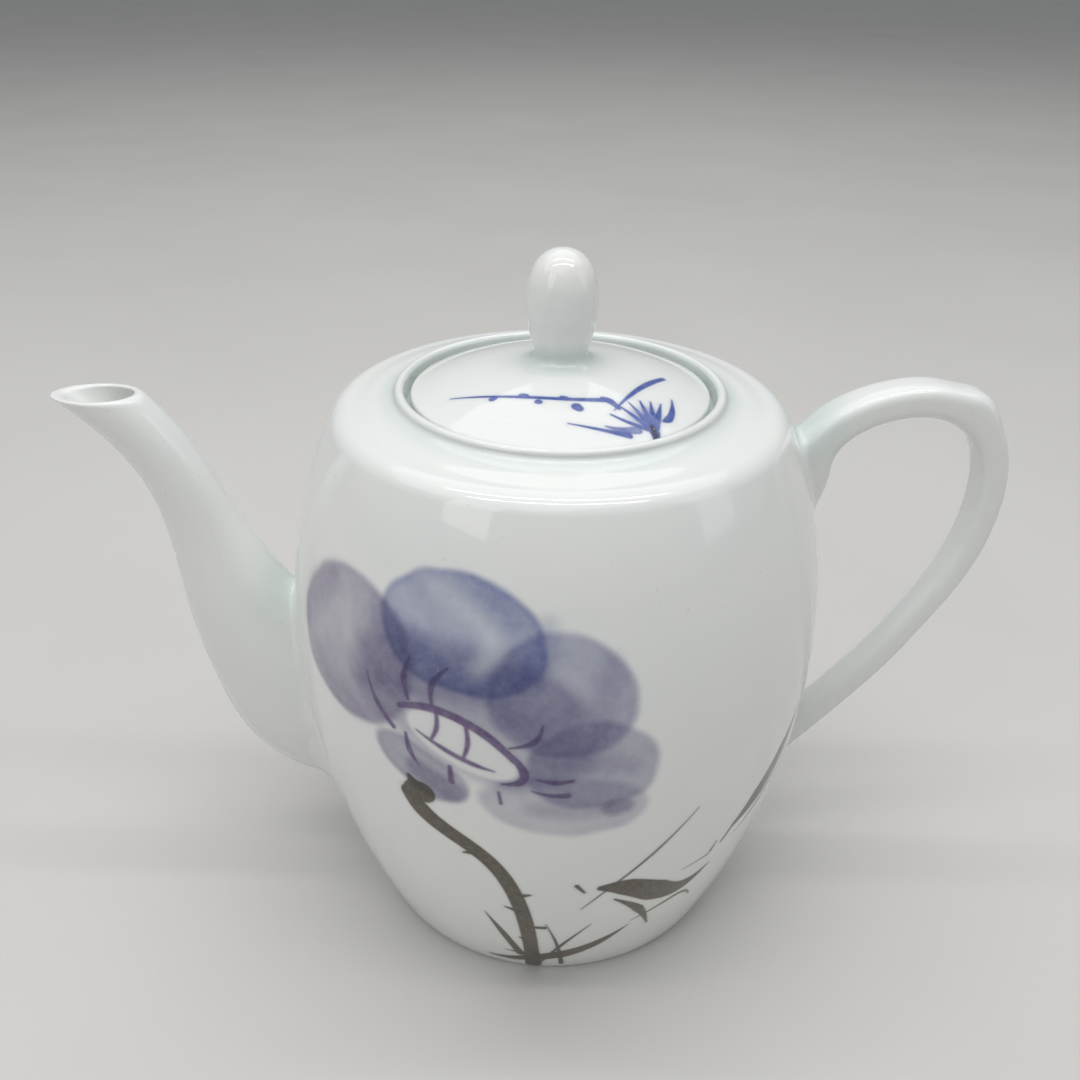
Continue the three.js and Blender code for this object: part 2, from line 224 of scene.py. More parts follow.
def pot_profile():
    """From the middle of the recessed base, out and up over the shoulder and collar, and down inside."""
    side = barrel(np.linspace(.012, 1, 66))
    turn = shoulder(10)
    bead_angle = np.radians(np.linspace(-8, 180, 17))
    bead = [BEAD_R, BEAD_TOP - BEAD_HALF] + BEAD_HALF * np.stack([np.cos(bead_angle), np.sin(bead_angle)], -1)
    disc = smooth_join(turn[-1], (COVE_R, COVE_Z), (-1, 0), (-1, .06), 6)
    cove = curve([(COVE_R, COVE_Z), (41.6, 142.65), (39.85, 143.05), bead[0]], 13)
    ceiling = turn[-1][1] - TOP_THICKNESS
    inner = barrel(np.linspace(.06, 1, 50), -WALL)
    inner = inner[(inner[:, 1] > FLOOR_Z + FLOOR_ROUND) & (inner[:, 1] < ceiling - 3)][::-1]
    foot = rounded([(0, FOOT_RECESS, 0), (FOOT_INNER_R, FOOT_RECESS, 1.6), (FOOT_INNER_R + .7, 0, .5),
                    (SIDE[0][0] - .15, 0, FOOT_EDGE), (*side[0], 0)])
    gallery = rounded([(*bead[-1], 0), (SEAT_R, SEAT_Z, .5), (NECK_R, SEAT_Z, 1.2), (NECK_R, ceiling, 1.0),
                       (NECK_R + 9, ceiling, 0)])
    under = smooth_join(gallery[-1], inner[0], (1, 0), unit(inner[1] - inner[0]), 10)
    low = inner[-1]
    bowl = smooth_join(low, (low[0] - FLOOR_ROUND, FLOOR_Z), unit(low - inner[-2]), (-1, 0), 10)
    outside = [foot[:-1], side, turn, disc[1:], cove[1:-1], bead]
    inside = [gallery[1:], under[1:], inner[1:], bowl[1:], [(0, FLOOR_Z)]]
    return divided(np.vstack(outside + inside), 5.0)


def dome_z(r, drop=0.0):
    """Height of the lid's dome at radius r, lowered by drop."""
    return LID_TOP - drop - (DOME_R - np.sqrt(DOME_R ** 2 - np.asarray(r, float) ** 2))


def lid_profile():
    """From the middle of the hollow, round the locating ring and the rim, and up over the dome."""
    under = SEAT_Z + .3
    r_top = np.linspace(LID_R - 1.0, 0, 26)
    below = np.linspace(0, RING_INNER_R - 2.5, 12)
    dome = np.stack([r_top, dome_z(r_top)], -1)
    belly = np.stack([below, dome_z(below, LID_THICKNESS)], -1)
    ring = [(RING_INNER_R, float(dome_z(RING_INNER_R, LID_THICKNESS)), 1.6), (RING_INNER_R, RING_BOTTOM, 1.3),
            (RING_OUTER_R, RING_BOTTOM, 1.3), (RING_OUTER_R, under, 1.0)]
    rim = rounded([(*belly[-1], 0), *ring, (LID_R, under, .8), (LID_R, float(dome_z(LID_R)) - .1, .75),
                   (*dome[0], 0)])
    return divided(np.vstack([belly[:-1], rim[:-1], dome]), 4.0)


def knob_profile():
    """From the tuck under the lid's dome, up the flared stem and over the egg."""
    edge = np.array([SKIRT_R, dome_z(SKIRT_R) + .01])
    waist, widest = (WAIST_R, WAIST_Z), (KNOB_R, KNOB_WIDEST_Z)
    stem = curve([edge, (8.3, dome_z(8.3) + .12), (6.6, 151.6), waist], 16)
    lower = curve([waist, (6.05, 154.6), (8.15, 157.6), widest], 20)
    upper = curve([widest, (8.95, 171.9), (5.9, KNOB_TOP), (0, KNOB_TOP)], 24)
    tuck = [(0, 150.2), (SKIRT_R - .4, float(dome_z(SKIRT_R)) - .4)]
    return np.vstack([tuck, stem, lower[1:], upper[1:]])


# -------- meshes

def lathe(profile, columns=COLUMNS):
    """Vertices and faces of the closed skin that the profile sweeps out."""
    angle = full_turn(columns)
    points, rings = [], []
    for r, z in profile:
        if abs(r) < 1e-6:
            rings.append(np.full(columns, len(points)))
            points.append((0, 0, z))
        else:
            rings.append(len(points) + np.arange(columns))
            points.extend(zip(r * np.sin(angle), -r * np.cos(angle), [z] * columns))
    faces = []
    for low, high in zip(rings, rings[1:]):
        a, b, c, d = low, np.roll(low, -1), np.roll(high, -1), high
        faces += [np.stack([a, b, c], -1), np.stack([a, c, d], -1)]
    faces = np.vstack(faces)
    whole = (faces != np.roll(faces, -1, 1)).all(1)
    return np.array(points, float), faces[whole]


def refine(points, faces, wanted, place, rounds):
    """Cuts every edge that is longer than wanted(its middle), and keeps the skin closed."""
    for _ in range(rounds):
        sides = np.stack([faces, np.roll(faces, -1, 1)], -1)
        edges, of_side = np.unique(np.sort(sides.reshape(-1, 2), 1), axis=0, return_inverse=True)
        of_side = of_side.reshape(-1, 3)
        middle = points[edges].mean(1)
        length = np.linalg.norm(points[edges[:, 0]] - points[edges[:, 1]], axis=1)
        cut = length > wanted(middle)
        if not cut.any():
            break
        longest = np.argmax(length[of_side], 1)
        row = np.arange(len(faces))
        while True:
            lead = cut[of_side].any(1) & ~cut[of_side[row, longest]]
            if not lead.any():
                break
            cut[of_side[row[lead], longest[lead]]] = True
        new = np.full(len(edges), -1)
        new[cut] = len(points) + np.arange(cut.sum())
        points = np.vstack([points, place(middle[cut])])
        turn = (longest[:, None] + np.arange(3)) % 3
        a, b, c = np.take_along_axis(faces, turn, 1).T
        ab, bc, ca = np.take_along_axis(new[of_side], turn, 1).T
        one, second, third = ab >= 0, bc >= 0, ca >= 0
        kinds = [
            (~one, [(a, b, c)]),
            (one & ~second & ~third, [(a, ab, c), (ab, b, c)]),
            (one & second & ~third, [(a, ab, c), (ab, b, bc), (ab, bc, c)]),
            (one & ~second & third, [(a, ab, ca), (ab, b, c), (ab, c, ca)]),
            (one & second & third, [(a, ab, ca), (ab, b, bc), (ab, bc, c), (ab, c, ca)]),
        ]
        faces = np.vstack([np.stack([v[which] for v in t], -1) for which, made in kinds for t in made])
    return points, faces


def pierce(points, faces, drills):
    """The skin with a round hole through it at each (start, end, radius)."""
    body = mesh_of("pierced", points, faces)
    count = DRILL_SIDES
    ring = full_turn(count)
    tool_points, tool_faces = [], []
    for start, end, radius in drills:
        along = unit(np.subtract(end, start))
        across = unit(np.cross(along, (0, 0, 1) if abs(along[2]) < .9 else (1, 0, 0)))
        other = np.cross(along, across)
        circle = radius * (np.outer(np.cos(ring), across) + np.outer(np.sin(ring), other))
        base = len(tool_points)
        tool_points += [*(circle + start), *(circle + end), np.array(start), np.array(end)]
        for i in range(count):
            low, low_next = base + i, base + (i + 1) % count
            high, high_next = low + count, low_next + count
            tool_faces += [(low, low_next, high_next), (low, high_next, high),
                               (base + 2 * count, low_next, low), (base + 2 * count + 1, high, high_next)]
    tool = mesh_of("drill", tool_points, tool_faces)
    cut = body.modifiers.new("cut", "BOOLEAN")
    cut.operation, cut.object, cut.solver = "DIFFERENCE", tool, "EXACT"
    done = body.evaluated_get(bpy.context.evaluated_depsgraph_get()).to_mesh()
    done.calc_loop_triangles()
    out_points = np.array([v.co for v in done.vertices], float)
    out_faces = np.array([t.vertices for t in done.loop_triangles])
    for thing in (body, tool):
        bpy.data.objects.remove(thing)
    return out_points, out_faces


def mesh_of(name, points, faces):
    """A new object with this mesh, in the scene."""
    mesh = bpy.data.meshes.new(name)
    mesh.from_pydata(np.asarray(points, float).tolist(), [], np.asarray(faces).tolist())
    mesh.update()
    thing = bpy.data.objects.new(name, mesh)
    bpy.context.scene.collection.objects.link(thing)
    return thing


def finished(name, points, faces, materials, layers, corner_normals=None, point_normals=None, second=None):
    """The piece in the frame, with its layers, its materials (the second where second is true) and normals."""
    thing = mesh_of(name, points * MM + AXIS, faces)
    mesh = thing.data
    for key, values in layers.items():
        mesh.attributes.new(key, "FLOAT", "POINT").data.foreach_set("value", np.asarray(values, np.float32))
    for material in materials:
        mesh.materials.append(material)
    if second is not None:
        mesh.polygons.foreach_set("material_index", second.astype(np.int32))
    mesh.polygons.foreach_set("use_smooth", np.ones(len(faces), bool))
    if corner_normals is not None:
        mesh.normals_split_custom_set(corner_normals.reshape(-1, 3).tolist())
    elif point_normals is not None:
        mesh.normals_split_custom_set_from_vertices(point_normals.tolist())
    mesh.update()
    return thing


def face_vectors(points, faces):
    """Normal of each triangle, twice as long as its area."""
    first = points[faces[:, 0]]
    return np.cross(points[faces[:, 1]] - first, points[faces[:, 2]] - first)


def nearest(profile, points):
    """For each 3-D point: the nearest place on the turned profile, its normal, and the height above it."""
    rz = np.stack([radius(points), points[:, 2]], -1)
    a, b = profile[:-1], profile[1:]
    run = b - a
    long = np.linalg.norm(run, axis=1)
    face = np.stack([run[:, 1], -run[:, 0]], -1)
    at_point = np.zeros_like(profile)
    at_point[:-1] += face
    at_point[1:] += face
    at_point = unit(at_point)
    foot, normal = np.empty_like(rz), np.empty_like(rz)
    batch = 4000
    for k in range(0, len(rz), batch):
        p = rz[k:k + batch, None]
        s = np.clip(((p - a) * run).sum(-1) / long ** 2, 0, 1)
        away = np.linalg.norm(a + s[..., None] * run - p, axis=-1)
        pick = away.argmin(1)
        share = s[np.arange(len(pick)), pick][:, None]
        foot[k:k + batch] = a[pick] + share * run[pick]
        normal[k:k + batch] = unit(at_point[pick] * (1 - share) + at_point[pick + 1] * share)
    outside = ((rz - foot) * normal).sum(1)
    turn = points[:, :2] / np.maximum(rz[:, :1], 1e-9)
    spin = lambda v: np.column_stack([turn * v[:, :1], v[:, 1]])
    return spin(foot), spin(normal), outside


def turned_normals(profile, points, faces):
    """Exact normals of a turned skin for every corner, and nought on the walls of drilled holes."""
    _, normal, _ = nearest(profile, points)
    flat = unit(face_vectors(points, faces))
    corner = normal[faces]
    corner[np.abs((corner * flat[:, None]).sum(2)).min(1) < .6] = 0
    return corner


# -------- brushwork

PAINT_R = 62.0      # a turn of the side is laid out flat at this radius
PER_SPAN = 8        # points between two points of a brush path
# Degrees round from the front, and heights, between which the flower lies.
FLOWER_TURN, FLOWER_Z = (-70, 26), (58, 134)


def flat_side(points):
    """The side rolled out flat: millimetres round from the front, and height."""
    return np.stack([np.arctan2(points[:, 0], -points[:, 1]) * PAINT_R, points[:, 2]], -1)


def on_side(pairs):
    """(degrees round from the front, height) pairs, rolled out flat."""
    return [(math.radians(a) * PAINT_R, z) for a, z in pairs]


def line_distance(p, path, half):
    """Distance from the points to a line, less the line's half thickness there."""
    a, b = path[:-1], path[1:]
    run = b - a
    long = np.maximum((run ** 2).sum(1), 1e-9)
    margin = half.max() + 3.0
    near = ((p > path.min(0) - margin) & (p < path.max(0) + margin)).all(1)
    out = np.full(len(p), margin)
    q = p[near][:, None]
    s = np.clip(((q - a) * run).sum(-1) / long, 0, 1)
    away = np.linalg.norm(a + s[..., None] * run - q, axis=-1) - (half[:-1] + s * (half[1:] - half[:-1]))
    out[near] = away.min(1) if len(away) else margin
    return out


def loop_distance(p, loop):
    """Distance from the points to a closed line, negative inside it."""
    path = smooth_path([*loop, loop[0]])
    away = line_distance(p, path, np.zeros(len(path)))
    a, b = path[:-1], path[1:]
    near = ((p > path.min(0)) & (p < path.max(0))).all(1)
    q = p[near][:, None]
    rise = np.where(b[:, 1] == a[:, 1], 1e-9, b[:, 1] - a[:, 1])
    crossing = ((a[:, 1] > q[..., 1]) != (b[:, 1] > q[..., 1])) & (
        q[..., 0] < a[:, 0] + (q[..., 1] - a[:, 1]) / rise * (b[:, 0] - a[:, 0]))
    inside = np.zeros(len(p), bool)
    inside[near] = crossing.sum(1) % 2 == 1
    return np.where(inside, -away, away)


def cover(distance, soft):
    """Ink cover of a soft edged shape: 1 well inside, 0 outside."""
    t = np.clip(.5 - distance / (2 * soft), 0, 1)
    return t * t * (3 - 2 * t)


def ripple(p, scale, seed):
    """Slow, smooth unevenness between -1 and 1."""
    x, y = p[:, 0] / scale, p[:, 1] / scale
    a = np.sin(x * 1.7 + seed + 1.3 * np.sin(y * 1.1 + seed * 2.1))
    b = np.sin(y * 2.1 - seed * .7 + 1.1 * np.sin(x * 1.4 - seed))
    return (a + b + .6 * np.sin((x + y) * 2.9 + 3 * seed)) / 2.6


# Petals of the side's flower: outline, cobalt, violet, softness of the edge, and how dark the edge dries.
PETALS = [
    ([(-40, 118.5), (-48, 120.6), (-56, 117), (-61.8, 108.5), (-63.4, 98), (-59.5, 89.5), (-51, 84.4),
      (-42, 82.8), (-34.5, 85.2), (-28.5, 92), (-26.5, 101), (-28.5, 110), (-33, 115.6)], .20, .46, 1.2, .12),
    ([(-38, 115), (-34.6, 122), (-27, 127), (-17, 127.8), (-8.6, 124.4), (-3, 118.4), (-.6, 111), (-3.2, 104.4),
      (-10, 101), (-18, 100), (-27, 101), (-34.5, 106.5)], .58, .06, .9, .14),
    ([(-7, 116), (0, 117.6), (7, 115.6), (12.4, 110), (15.6, 102.5), (15, 94.5), (10, 88.4), (1, 86.4),
      (-8, 89), (-14, 96), (-13.6, 107)], .38, .24, 1.2, .10),
    ([(1, 96), (9, 97), (15.4, 94), (19.8, 87), (19.6, 79), (15, 74.0), (7, 72), (-1, 74), (-7, 80), (-6, 89)],
     .30, .30, 1.3, .08),
    ([(-16, 76.5), (-10, 80), (-2, 82.5), (8, 81.5), (16.6, 78), (19.4, 72), (15.5, 67), (8, 64.6), (-1, 64.4),
      (-9, 66.6), (-15, 71)], .18, .26, 1.5, .05),
    ([(-38, 84.5), (-32.5, 87), (-26, 84.5), (-20, 81), (-15, 77), (-16.6, 70.6), (-23, 69.2), (-30, 72.4),
      (-35.6, 78)], .24, .42, 1.1, .10),
    ([(-45, 104), (-35, 112), (-21, 113), (-6, 110), (6, 104), (10, 94), (7, 84), (-2, 77.6), (-12, 77.6),
      (-20, 80.6), (-28, 85.4), (-37, 88.6), (-44, 95)], .24, .36, 3.0, .0),
]
# Darker second touches of wash inside the petals: path, half widths, cobalt, violet, softness.
WASHES = [
    ([(-36, 113), (-29, 107), (-19, 103), (-10, 103.5), (-5, 106)], [3, 4.5, 4.5, 3.4, 2], .34, .16, 3.0),
    ([(-2, 118), (-3.6, 112), (-5.5, 106)], [1.5, 3.4, 2.4], .34, .0, 2.4),
    ([(-60, 99), (-58, 108), (-51, 115)], [2.4, 4.4, 3.0], .06, .34, 3.0),
    ([(-56, 93), (-48, 88.6), (-40, 87), (-34, 89)], [2.4, 3.6, 3, 2], .0, .30, 3.0),
    ([(-41, 98), (-34, 100), (-26, 98)], [3, 4, 2], .10, .22, 3.4),
    ([(4, 99), (9, 104), (10, 110)], [2, 3, 1.5], .18, .10, 2.6),
    ([(-8, 98), (0, 96), (8, 96)], [3, 4, 3], .10, .16, 3.2),
    ([(-3, 88), (6, 86), (14, 84)], [2.5, 3.2, 2], .08, .18, 2.4),
    ([(-4, 72.5), (4, 72), (10, 72.6)], [2, 2.8, 1.5], .0, .36, 2.2),
    ([(11, 72.5), (13, 72.7)], [2.4, 2.2], .20, .50, 1.3),
    ([(-27, 78), (-20, 74)], [2.6, 3.0], .14, .46, 1.4),
    ([(-34, 97.5), (-23, 100), (-12, 98), (-3, 92.5)], [2, 3, 3.4, 2], .16, .22, 2.6),
]
# Places where the wash is lifted: path, half widths, how much is left, softness.
LIFTS = [
    ([(-24, 122), (-15, 118), (-11.5, 112), (-15, 107)], [.8, 1.8, 2.4, 1.8], .58, 2.4),
    ([(-46, 110), (-42, 99)], [2, 2.4], .80, 3.0),
    ([(1, 109), (6, 102), (5, 95)], [1, 2.2, 1.5], .80, 2.6),
]
POD = [(-30, 93.5), (-24, 95.6), (-17, 94.6), (-11, 91.2), (-6.5, 85.6), (-6.2, 80.6), (-10.5, 79.2), (-17, 81),
       (-24, 84.6), (-29.5, 88.6)]

# Brush lines: path, half widths, strength.
VIOLET_LINES = [
    ([(-30.6, 93.4), (-25, 95.6), (-18, 94.6), (-12, 91.2), (-7.6, 86)], [.65, .98, 1.0, 1.0, .78], .95),
    ([(-7.8, 86.6), (-5.6, 83), (-6.2, 79.9), (-10, 79.2)], [.65, 1.0, .91, .2], .95),
    ([(-26.8, 88.6), (-21, 85.6), (-15, 83.2), (-11.4, 82.4)], [.2, .65, .65, .2], .85),
    ([(-22.6, 94.6), (-22.4, 90.6), (-23.6, 87.6)], [.45, .59, .39], .85),
    ([(-16.8, 93.4), (-16.2, 88.4), (-17.2, 84.8)], [.45, .59, .39], .85),
    ([(-38.6, 98.2), (-36.6, 92), (-32, 87)], [.13, .65, .59], .9),
    ([(-28.6, 106), (-30, 101), (-28.6, 95.8)], [.2, .78, .39], .9),
    ([(-20.6, 105.8), (-24, 101.4), (-23.6, 96.4)], [.26, .78, .39], .9),
    ([(-2.6, 95.4), (-3.6, 91), (-8.6, 89.2)], [.2, .72, .2], .9),
    ([(-29.2, 86.6), (-28.6, 82), (-26.6, 79)], [.39, .78, .13], .85),
    ([(-20, 81.2), (-19.8, 77)], [.52, .72], .85),
    ([(-10.6, 76.6), (-10.2, 73.4)], [.39, .39], .8),
    ([(-3.6, 81.4), (0, 80.4), (3, 81.2)], [.2, .72, .39], .85),
    ([(-4.4, 78), (-1, 76.8), (2.2, 77)], [.16, .52, .78], .85),
]
IRON_LINES = [
    ([(-29.2, 74.6), (-28, 72.4)], [.5, 1.6], .97),
    ([(-27.8, 70.4), (-26.4, 70.8)], [3.1, 3.1], .97),
    ([(-29.4, 69.2), (-27.4, 65.2), (-22.4, 61), (-15.6, 56.2), (-11, 49.6), (-8, 40), (-6, 27), (-5.2, 13),
      (-5, 2.2)], [2.2, 2.5, 2.3, 2.1, 2.0, 2.0, 2.1, 2.2, 2.6], .97),
    ([(-18.6, 54.2), (-16.4, 55)], [.3, .8], .9),
    ([(-6.6, 40.6), (-4.9, 41.2)], [.8, .35], .9),
    ([(-10.6, 34.6), (-7.6, 33.2)], [.3, .9], .9),
    ([(-5, 25.6), (-1.8, 25.6)], [.5, .8], .9),
    ([(-8, 19.2), (-6.4, 18)], [.3, .8], .9),
    ([(-15.8, 30), (-12.4, 21), (-8.4, 9)], [.1, 1.0, 1.3], .95),
    ([(-18, 4.4), (-11, 4.6), (-5, 7), (4, 9.6), (13, 15.4), (19.6, 22.4)], [.3, 1.2, 2.0, 2.2, 1.5, .1], .95),
    ([(-12.4, 10), (-7, 9.4)], [.15, .7], .9),
    ([(-1.4, 27.4), (1.4, 18), (3.4, 3.2)], [.1, .45, .8], .9),
    ([(9.4, 26.6), (3, 16.4), (-3.2, 2.8)], [.12, .6, .4], .9),
    ([(10.4, 43.6), (16, 43), (24, 36.6), (31.6, 33.2), (39, 38.4)], [1.0, 3.2, 4.0, 2.2, .1], .97),
    ([(14, 37.6), (21, 31), (25.4, 20)], [.3, 1.4, .2], .95),
    ([(6.6, 35), (12, 43), (21, 54), (29.6, 65.4)], [.15, .35, .42, .12], .8),
    ([(5, 45.4), (6.8, 42.4)], [.6, .35], .9),
    ([(20, 24.6), (28, 28.6), (33.6, 30.6), (36.4, 26.6)], [.12, .5, .6, .2], .85),
    ([(30, 42.2), (37, 43.4)], [.12, .35], .7),
    ([(37.4, 44.4), (38.4, 47.4)], [.5, .2], .8),
    ([(40.4, 45.8), (43, 50.6)], [.45, .5], .9),
    ([(43, 50.2), (50, 56), (57, 64.6), (62.6, 74)], [.8, 3.0, 2.6, .2], .97),
    ([(45, 45.6), (54, 53), (61, 63)], [.12, .55, .12], .85),
    ([(66, 20), (69, 36), (76, 50)], [.3, 1.2, .1], .9),
    ([(72, 3), (70.4, 16), (66.6, 27)], [1.0, 1.0, .15], .92),
]
LINES = [("violet", *line) for line in VIOLET_LINES] + [("iron", *line) for line in IRON_LINES]

# Sprig on the lid, in millimetres about the axis.
SPRIG_LINES = [
    ([(-25, -14.4), (-16, -17), (-6, -19.2), (3, -20), (9.4, -19.2)], [.16, .39, .55, .59, .78], .96),
    ([(9.2, -18.6), (10.6, -19), (12.6, -21.4)], [.65, .98, .59], 1.0),
    ([(-15.4, -18.1), (-14.8, -17.8)], [.81, .65], 1.0),
    ([(-8.8, -18), (-8, -18.2)], [.81, .78], 1.0),
    ([(-5.2, -20.7), (-4.8, -20.9)], [.81, .65], 1.0),
    ([(.2, -19.4), (.9, -19.6)], [.81, .78], 1.0),
    ([(3.3, -22.4), (3.9, -23)], [1.2, .98], 1.0),
    ([(11.6, -22.4), (15.6, -15.4), (20, -8.6), (24, -3.6)], [.13, .55, .81, .65], .92),
    ([(10.8, -24), (14, -25.6), (18.6, -26.6)], [.26, .52, .65], .96),
    ([(12.6, -20.4), (15.6, -23), (18.8, -25.8)], [.16, .52, .78], .96),
    ([(15, -18.6), (17, -21.6), (19.4, -25.6)], [.16, .55, .91], .94),
    ([(17.6, -17.2), (18.6, -21), (19.8, -25.6)], [.18, .65, .91], .94),
    ([(20, -16.6), (20.2, -21), (20.2, -25.6)], [.16, .65, .91], .94),
    ([(22.4, -16.4), (21.6, -21), (20.6, -25.6)], [.16, .65, .91], .94),
    ([(25.2, -13.2), (25, -18), (23.6, -22), (22.6, -22.6)], [.13, .65, .91, .39], .94),
    ([(1.4, -28), (8, -29.2), (14.6, -29.8)], [.16, .45, .78], .94),
    ([(9.6, -28), (13.4, -28.6), (16.4, -27.6)], [.26, .91, 1.2], .75),
    ([(19.6, -25), (20.4, -27), (20.6, -29.8)], [1.0, 1.2, .65], 1.0),
]
SPRIG = [("cobalt", *line) for line in SPRIG_LINES]
SPRIG += [("iron", [(19.8, -25.4), (20.4, -27.4), (20.6, -29.9)], [.5, .7, .45], .75)]
SPRIG_WASH = ([(13.5, -22.5), (17, -18.4), (22.4, -18), (21.8, -25), (19.6, -27), (15, -26.6)], .52, 1.8)


def no_ink(points):
    return {key: np.zeros(len(points)) for key in PIGMENTS}


def over(ink, more):
    """The ink's density once more is laid on it."""
    return 1 - (1 - ink) * (1 - more)


def side_ink(points):
    """Cobalt, violet and iron on the side of the pot at these points."""
    p = flat_side(points)
    ink = no_ink(p)
    low, high = on_side(zip(FLOWER_TURN, FLOWER_Z))
    reach = ((p > low) & (p < high)).all(1)
    q = p[reach]
    cobalt, violet = np.zeros(len(q)), np.zeros(len(q))
    for n, (loop, blue, purple, soft, dry) in enumerate(PETALS):
        wobble = .5 * ripple(q, 5.0, n + 1.0)
        away = loop_distance(q, on_side(loop)) + wobble
        body = cover(away, soft) * (1 + .22 * ripple(q, 13.0, 2.3 * n + .4) + .08 * ripple(q, 4.0, n + 7.0))
        edge = dry * cover(away, soft) * bell(np.maximum(-away, 0), 1.6)
        share = blue / (blue + purple)
        cobalt = over(cobalt, np.clip(blue * body + edge * share, 0, .9))
        violet = over(violet, np.clip(purple * body + edge * (1 - share), 0, .9))
    for path, half, blue, purple, soft in WASHES:
        touch = cover(line_distance(q, *even(on_side(path), half)), soft)
        cobalt, violet = over(cobalt, blue * touch), over(violet, purple * touch)
    left = np.ones(len(q))
    for path, half, keep, soft in LIFTS:
        left *= 1 - (1 - keep) * cover(line_distance(q, *even(on_side(path), half)), soft)
    left *= 1 - .90 * cover(loop_distance(q, on_side(POD)), .8)
    ink["cobalt"][reach], ink["violet"][reach] = cobalt * left, violet * left
    return lay_lines(p, ink, LINES, on_side, .34)


def even(path, half):
    """A brush line as a smooth path, and its half widths along that path."""
    line = smooth_path(path)
    return line, np.interp(np.linspace(0, 1, len(line)), np.linspace(0, 1, len(half)), half)


def lay_lines(p, ink, lines, place, soft):
    """Adds brush lines to the ink, with a faint bleed round each."""
    for n, (pigment, path, half, strength) in enumerate(lines):
        away = line_distance(p, *even(place(path), half))
        stain = strength * (cover(away, soft) * (1 + .05 * ripple(p, 2.0, n)) + .16 * cover(away - .5, .9))
        ink[pigment] = over(ink[pigment], np.clip(stain, 0, .985))
    return ink


def lid_ink(points):
    """Cobalt, violet and iron on the lid at these points."""
    p = points[:, :2]
    ink = no_ink(p)
    loop, strength, soft = SPRIG_WASH
    ink["cobalt"] = strength * cover(loop_distance(p, loop), soft)
    return lay_lines(p, ink, SPRIG, lambda path: path, .26)


ANY_SIZE = 99.0     # longer than any edge


def ink_size(p, lines, place, loops, finest, widest):
    """Longest edge wanted at the points, so that every brush line keeps its shape."""
    want = np.full(len(p), ANY_SIZE)
    for _, path, half, _ in lines:
        away = line_distance(p, *even(place(path), half))
        want = np.minimum(want, np.where(away < 2.9, np.clip(np.abs(away) * .8, finest, widest), ANY_SIZE))
    for loop in loops:
        path = smooth_path(place([*loop, loop[0]]))
        away = line_distance(p, path, np.zeros(len(path)))
        want = np.minimum(want, np.where(away < 2.5, np.clip(.7 + np.abs(away) * .25, .7, widest), ANY_SIZE))
    return want


def side_size(points):
    """Longest edge wanted on the pot's body."""
    y, z = points[:, 1:].T
    painted = (radius(points) > np.interp(z, *SIDE_TABLE) - 1.2) & (z > 1.2) & (z < 137) & (y < 12)
    want = np.full(len(points), ANY_SIZE)
    loops = [petal[0] for petal in PETALS] + [POD]
    want[painted] = ink_size(flat_side(points[painted]), LINES, on_side, loops, .3, 1.6)
    return want


def lid_size(points):
    """Longest edge wanted on the lid."""
    r = radius(points)
    top = (points[:, 2] > dome_z(np.minimum(r, LID_R)) - .3) & (r < LID_R - .4)
    want = np.full(len(points), ANY_SIZE)
    want[top] = ink_size(points[top][:, :2], SPRIG, lambda path: path, [SPRIG_WASH[0]], .26, 1.2)
    return want


SIDE_T = np.linspace(0, 1, 400)
SIDE_TABLE = (barrel(SIDE_T)[:, 1], barrel(SIDE_T)[:, 0])


def onto_side(points):
    """Middles of cut edges, moved out onto the true side of the pot."""
    grow = np.interp(points[:, 2], *SIDE_TABLE) / radius(points)
    return np.column_stack([points[:, :2] * grow[:, None], points[:, 2]])


def onto_dome(points):
    """Middles of cut edges, lifted onto the true dome of the lid."""
    return np.column_stack([points[:, :2], dome_z(radius(points))])


# -------- materials

def nodes_of(name):
    """A new material, its node tree and its one shader."""
    material = bpy.data.materials.new(name)
    material.use_nodes = True
    tree = material.node_tree
    tree.nodes.clear()
    out = tree.nodes.new("ShaderNodeOutputMaterial")
    shader = tree.nodes.new("ShaderNodeBsdfPrincipled")
    tree.links.new(shader.outputs[0], out.inputs[0])
    return material, tree, shader


def node(tree, kind, **settings):
    """A new node. in_ settings go to its inputs and the others to the node itself."""
    made = tree.nodes.new(kind)
    for key, value in settings.items():
        if key.startswith("in_"):
            made.inputs[key[3:].replace("_", " ")].default_value = value
        else:
            setattr(made, key, value)
    return made


def noise(tree, scale, detail=3.0, rough=.5):
    """Noise in object space, scale to the metre."""
    where = node(tree, "ShaderNodeTexCoord")
    made = node(tree, "ShaderNodeTexNoise", in_Scale=scale, in_Detail=detail, in_Roughness=rough)
    tree.links.new(where.outputs["Object"], made.inputs["Vector"])
    return made.outputs["Fac"]


def spread(tree, value, low, high, start=.3, end=.7):
    """Noise value between start and end, stretched to run from low to high."""
    made = node(tree, "ShaderNodeMapRange", clamp=True)
    for key, number in (("From Min", start), ("From Max", end), ("To Min", low), ("To Max", high)):
        made.inputs[key].default_value = number
    tree.links.new(value, made.inputs["Value"])
    return made.outputs["Result"]


def times(tree, a, b):
    made = node(tree, "ShaderNodeMath", operation="MULTIPLY")
    tree.links.new(a, made.inputs[0])
    tree.links.new(b, made.inputs[1])
    return made.outputs[0]


def mixed(tree, factor, a, b, blend="MIX"):
    made = node(tree, "ShaderNodeMix", data_type="RGBA", blend_type=blend, clamp_factor=True)
    for socket, value in ((made.inputs[0], factor), (made.inputs[6], a), (made.inputs[7], b)):
        if hasattr(value, "is_linked"):
            tree.links.new(value, socket)
        else:
            socket.default_value = value
    return made.outputs[2]


def layer(tree, name):
    return node(tree, "ShaderNodeAttribute", attribute_name=name).outputs["Fac"]


